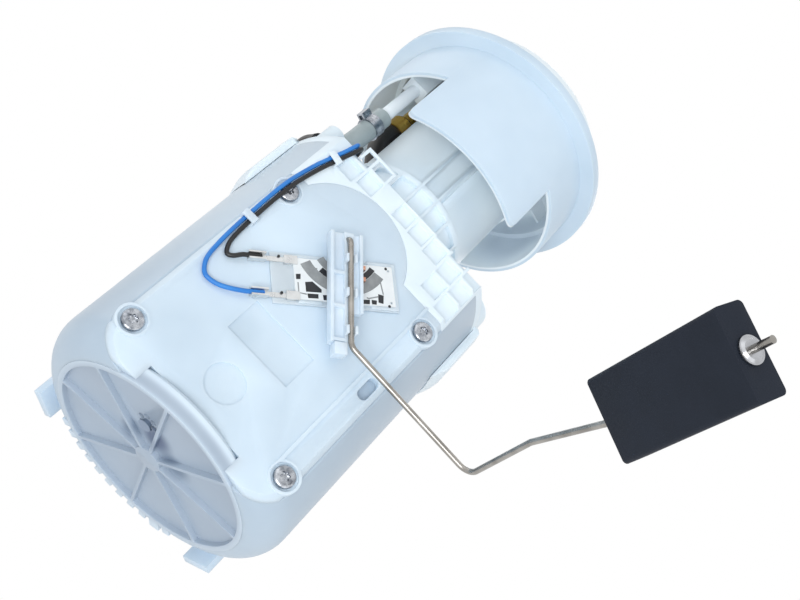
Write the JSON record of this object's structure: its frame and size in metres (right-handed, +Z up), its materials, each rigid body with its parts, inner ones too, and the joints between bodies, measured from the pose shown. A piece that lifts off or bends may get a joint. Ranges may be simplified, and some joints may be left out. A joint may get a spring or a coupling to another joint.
{
  "type": "in-tank fuel pump module",
  "caption": "In-tank fuel delivery unit with a swirl pot, electric turbine pump, lattice-ribbed neck, round tank flange and lever-type level sender with float.",
  "frame": {"origin": "centre of the base plate's flat hub face under the swirl pot, on the pot's axis", "axes": "+Z up along the pot's axis towards the tank flange, -Y out of the flat front cover towards the level sender, +X towards the side where the float arm reaches"},
  "size_m": [0.1558, 0.2495, 0.2486],
  "materials": {
    "white": "smooth moulded polymer, slightly translucent",
    "milky": "smooth moulded polymer, natural colour",
    "steel": "drawn steel wire and zinc-plated steel",
    "rubber": "smooth black fuel-resistant rubber",
    "brass": "bright yellow metal",
    "ceramic": "fired ceramic with a printed thick-film track",
    "copper": "copper alloy spring contacts and commutator bars",
    "float_foam": "closed-cell nitrile foam, dark slate",
    "blue_insulation": "blue wire insulation",
    "black_insulation": "black wire insulation",
    "red_insulation": "red wire insulation",
    "brown_insulation": "brown wire insulation",
    "strainer_mesh": "fine woven polymer mesh over a frame",
    "pump_plastic": "glass-filled polymer, light grey",
    "impeller_plastic": "phenolic moulding, dark",
    "armature_steel": "laminated steel with varnished winding",
    "ferrite": "pressed carbon or ferrite, dark grey"
  },
  "bodies": {
    "pot_assembly": {"swirl_pot": "white", "front_cover": "white", "cover_screws": "steel", "base_plate": "milky", "foot_valve": "rubber", "shoulder_neck": "white", "flange": "white", "contact_blades": "steel", "feed_pipe": "brass", "feed_hose": "rubber", "return_hose": "rubber", "ear_clamps": "steel", "feed_ferrule": "brass", "jet_tube": "white", "sender_bracket": "milky", "resistor_card": "ceramic", "card_terminals": "steel", "blue_wire": "blue_insulation", "black_wire": "black_insulation", "pump_lead_red": "red_insulation", "pump_lead_brown": "brown_insulation", "pump_cradle": "milky", "rubber_rings": "rubber", "inlet_strainer": "strainer_mesh", "pump_case": "steel", "inlet_cap": "pump_plastic", "channel_plate": "pump_plastic", "field_magnets": "ferrite", "shaft_bushes": "brass", "outlet_cap": "pump_plastic", "carbon_brushes": "ferrite", "brush_springs": "steel", "valve_spring": "steel"},
    "lever": {"lever_carrier": "white", "float_wire": "steel", "wiper_contacts": "copper", "push_nut": "steel"},
    "float_body": {"level_float": "float_foam"},
    "pump_rotor": {"pump_shaft": "steel", "armature": "armature_steel", "commutator": "copper", "impeller": "impeller_plastic"},
    "valve_poppet": {"check_valve": "rubber"}
  },
  "joints": [
    {"name": "lever_hinge", "type": "hinge", "parent": "pot_assembly", "child": "lever", "pos_m": [-0.0073, -0.0466, 0.0938], "axis": [0, -1, 0], "range_deg": [-30, 42]},
    {"name": "float_turn", "type": "hinge", "parent": "lever", "child": "float_body", "pos_m": [0.08496, -0.1571, 0.0578], "axis": [0, -1, 0], "continuous": true},
    {"name": "rotor_spin", "type": "hinge", "parent": "pot_assembly", "child": "pump_rotor", "pos_m": [0, 0.005, 0.0348], "axis": [0, 0, 1], "continuous": true},
    {"name": "valve_lift", "type": "slide", "parent": "pot_assembly", "child": "valve_poppet", "axis": [0, 0, 1], "range_m": [0, 0.002], "stiffness_N_per_m": 30, "deforming": ["valve_spring"]}
  ]
}
